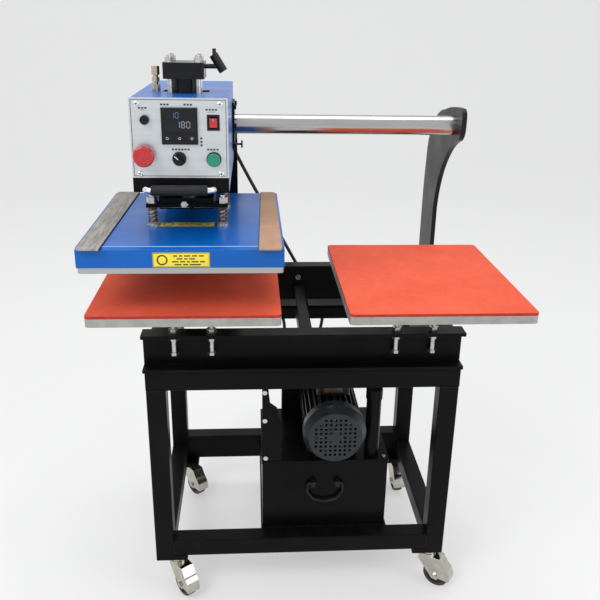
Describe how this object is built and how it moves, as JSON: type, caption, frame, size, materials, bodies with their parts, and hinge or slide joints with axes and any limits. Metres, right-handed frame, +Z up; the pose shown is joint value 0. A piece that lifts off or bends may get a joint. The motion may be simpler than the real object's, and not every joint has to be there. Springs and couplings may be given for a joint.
{
  "type": "heat press",
  "caption": "Double-station hydraulic heat press: a heated platen on a sliding head over two padded lower platens, on a castered stand with its own power unit.",
  "frame": {"origin": "centre of the whole machine's bounding box at floor level", "axes": "+X to the operator's right along the guide tube, +Y from the operator to the back, +Z up"},
  "size_m": [0.947, 0.829, 1.458],
  "materials": {
    "frame_black": "satin black powder coat",
    "machine_blue": "gloss blue enamel",
    "panel_silver": "satin anodised plate",
    "chrome_bright": "polished chrome",
    "zinc_bolts": "zinc plated",
    "cast_aluminium": "machined cast aluminium",
    "heater_aluminium": "machined flat",
    "silicone_red": "matte silicone sponge",
    "hose_black": "matte rubber",
    "grip_black": "soft grip",
    "plastic_black": "matte",
    "button_red": "gloss red",
    "button_green": "gloss green",
    "motor_black": "black paint on cast ribs",
    "cylinder_black": "gloss black",
    "bronze_bush": "bearing bronze",
    "brass_fitting": "nickel plated brass",
    "spring_copper": "copper coloured spring steel",
    "board_white": "mineral insulation board",
    "guard_strip": "heat resistant strip",
    "caster_zinc": "pressed zinc plated steel",
    "caster_tread": "dark tread",
    "can_black": "gloss black"
  },
  "bodies": {
    "stand": {"stand_legs": "frame_black", "stand_rails": "frame_black", "front_channel": "frame_black", "rear_beam": "frame_black", "frame_bars": "frame_black", "gooseneck_arms": "frame_black", "guide_tube": "chrome_bright", "frame_bolts": "zinc_bolts", "lower_platens": "cast_aluminium", "silicone_pads": "silicone_red", "platen_studs": "zinc_bolts", "oil_tank": "frame_black", "tank_lid": "frame_black", "motor_body": "motor_black", "fan_cover": "motor_black", "pump_block": "frame_black", "filter_canister": "can_black", "unit_side_plate": "frame_black", "bail_brackets": "plastic_black", "caster_stems": "caster_zinc", "pressure_hose": "hose_black", "return_hose": "hose_black"},
    "carriage": {"bearing_housing": "frame_black", "tube_bushes": "bronze_bush", "head_box": "machine_blue", "base_block": "frame_black", "control_panel": "panel_silver", "temperature_controller": "plastic_black", "panel_fittings": "plastic_black", "cylinder_barrel": "cylinder_black", "cylinder_heads": "cylinder_black", "tie_rods": "zinc_bolts", "hose_fittings": "brass_fitting", "handle_bar": "chrome_bright", "handle_grip": "grip_black", "reaction_arm": "frame_black", "guide_shoe": "plastic_black"},
    "press": {"piston_rod": "chrome_bright", "press_plate": "frame_black", "spring_bolts": "zinc_bolts", "platen_springs": "spring_copper", "platen_housing": "machine_blue", "insulation_board": "board_white", "heating_plate": "heater_aluminium", "edge_guards": "guard_strip"},
    "stop_button": {"stop_button": "button_red"},
    "start_button": {"start_button": "button_green"},
    "mode_selector": {"mode_selector": "plastic_black"},
    "power_rocker": {"power_rocker": "button_red"},
    "lock_knob": {"lock_knob": "grip_black"},
    "tank_bail": {"tank_bail": "chrome_bright"},
    "motor_fan": {"motor_fan": "zinc_bolts"},
    "caster_front_left": {"caster_fork_front_left": "caster_zinc"},
    "wheel_front_left": {"caster_wheel_front_left": "caster_tread"},
    "caster_front_right": {"caster_fork_front_right": "caster_zinc"},
    "wheel_front_right": {"caster_wheel_front_right": "caster_tread"},
    "caster_rear_left": {"caster_fork_rear_left": "caster_zinc"},
    "wheel_rear_left": {"caster_wheel_rear_left": "caster_tread"},
    "caster_rear_right": {"caster_fork_rear_right": "caster_zinc"},
    "wheel_rear_right": {"caster_wheel_rear_right": "caster_tread"}
  },
  "joints": [
    {"name": "head_slide", "type": "slide", "parent": "stand", "child": "carriage", "axis": [1, 0, 0], "range_m": [0, 0.542], "deforming": ["pressure_hose", "return_hose"]},
    {"name": "press_stroke", "type": "slide", "parent": "carriage", "child": "press", "axis": [0, 0, -1], "range_m": [0, 0.089]},
    {"name": "stop_button_push", "type": "slide", "parent": "carriage", "child": "stop_button", "axis": [0, 1, 0], "range_m": [0, 0.004]},
    {"name": "start_button_push", "type": "slide", "parent": "carriage", "child": "start_button", "axis": [0, 1, 0], "range_m": [0, 0.0025], "stiffness_N_per_m": 1200},
    {"name": "mode_selector_turn", "type": "hinge", "parent": "carriage", "child": "mode_selector", "pos_m": [-0.27345, -0.3015, 1.251], "axis": [0, 1, 0], "range_deg": [0, 90]},
    {"name": "power_rocker_tilt", "type": "hinge", "parent": "carriage", "child": "power_rocker", "pos_m": [-0.20345, -0.287, 1.323], "axis": [-1, 0, 0], "range_deg": [0, 14]},
    {"name": "lock_knob_turn", "type": "hinge", "parent": "carriage", "child": "lock_knob", "pos_m": [-0.17425, 0.0235, 1.2315], "axis": [1, 0, 0], "range_deg": [0, 180]},
    {"name": "tank_bail_swing", "type": "hinge", "parent": "stand", "child": "tank_bail", "pos_m": [0.0685, -0.0795, 0.32], "axis": [-1, 0, 0], "range_deg": [0, 85]},
    {"name": "motor_fan_spin", "type": "hinge", "parent": "stand", "child": "motor_fan", "pos_m": [0.0905, -0.0705, 0.476], "axis": [0, 1, 0], "continuous": true},
    {"name": "swivel_front_left", "type": "hinge", "parent": "stand", "child": "caster_front_left", "pos_m": [-0.3405, -0.1005, 0.09], "axis": [0, 0, 1], "continuous": true},
    {"name": "roll_front_left", "type": "hinge", "parent": "caster_front_left", "child": "wheel_front_left", "pos_m": [-0.32064, -0.12685, 0.0375], "axis": [0.7986, 0.6018, 0], "continuous": true},
    {"name": "swivel_front_right", "type": "hinge", "parent": "stand", "child": "caster_front_right", "pos_m": [0.3685, -0.1005, 0.09], "axis": [0, 0, 1], "continuous": true},
    {"name": "roll_front_right", "type": "hinge", "parent": "caster_front_right", "child": "wheel_front_right", "pos_m": [0.3952, -0.1199, 0.0375], "axis": [0.5878, 0.809, 0], "continuous": true},
    {"name": "swivel_rear_left", "type": "hinge", "parent": "stand", "child": "caster_rear_left", "pos_m": [-0.3435, 0.3735, 0.09], "axis": [0, 0, 1], "continuous": true},
    {"name": "roll_rear_left", "type": "hinge", "parent": "caster_rear_left", "child": "wheel_rear_left", "pos_m": [-0.32318, 0.3475, 0.0375], "axis": [0.788, 0.6157, 0], "continuous": true},
    {"name": "swivel_rear_right", "type": "hinge", "parent": "stand", "child": "caster_rear_right", "pos_m": [0.3585, 0.3735, 0.09], "axis": [0, 0, 1], "continuous": true},
    {"name": "roll_rear_right", "type": "hinge", "parent": "caster_rear_right", "child": "wheel_rear_right", "pos_m": [0.36195, 0.34068, 0.0375], "axis": [0.9945, 0.1045, 0], "continuous": true}
  ]
}
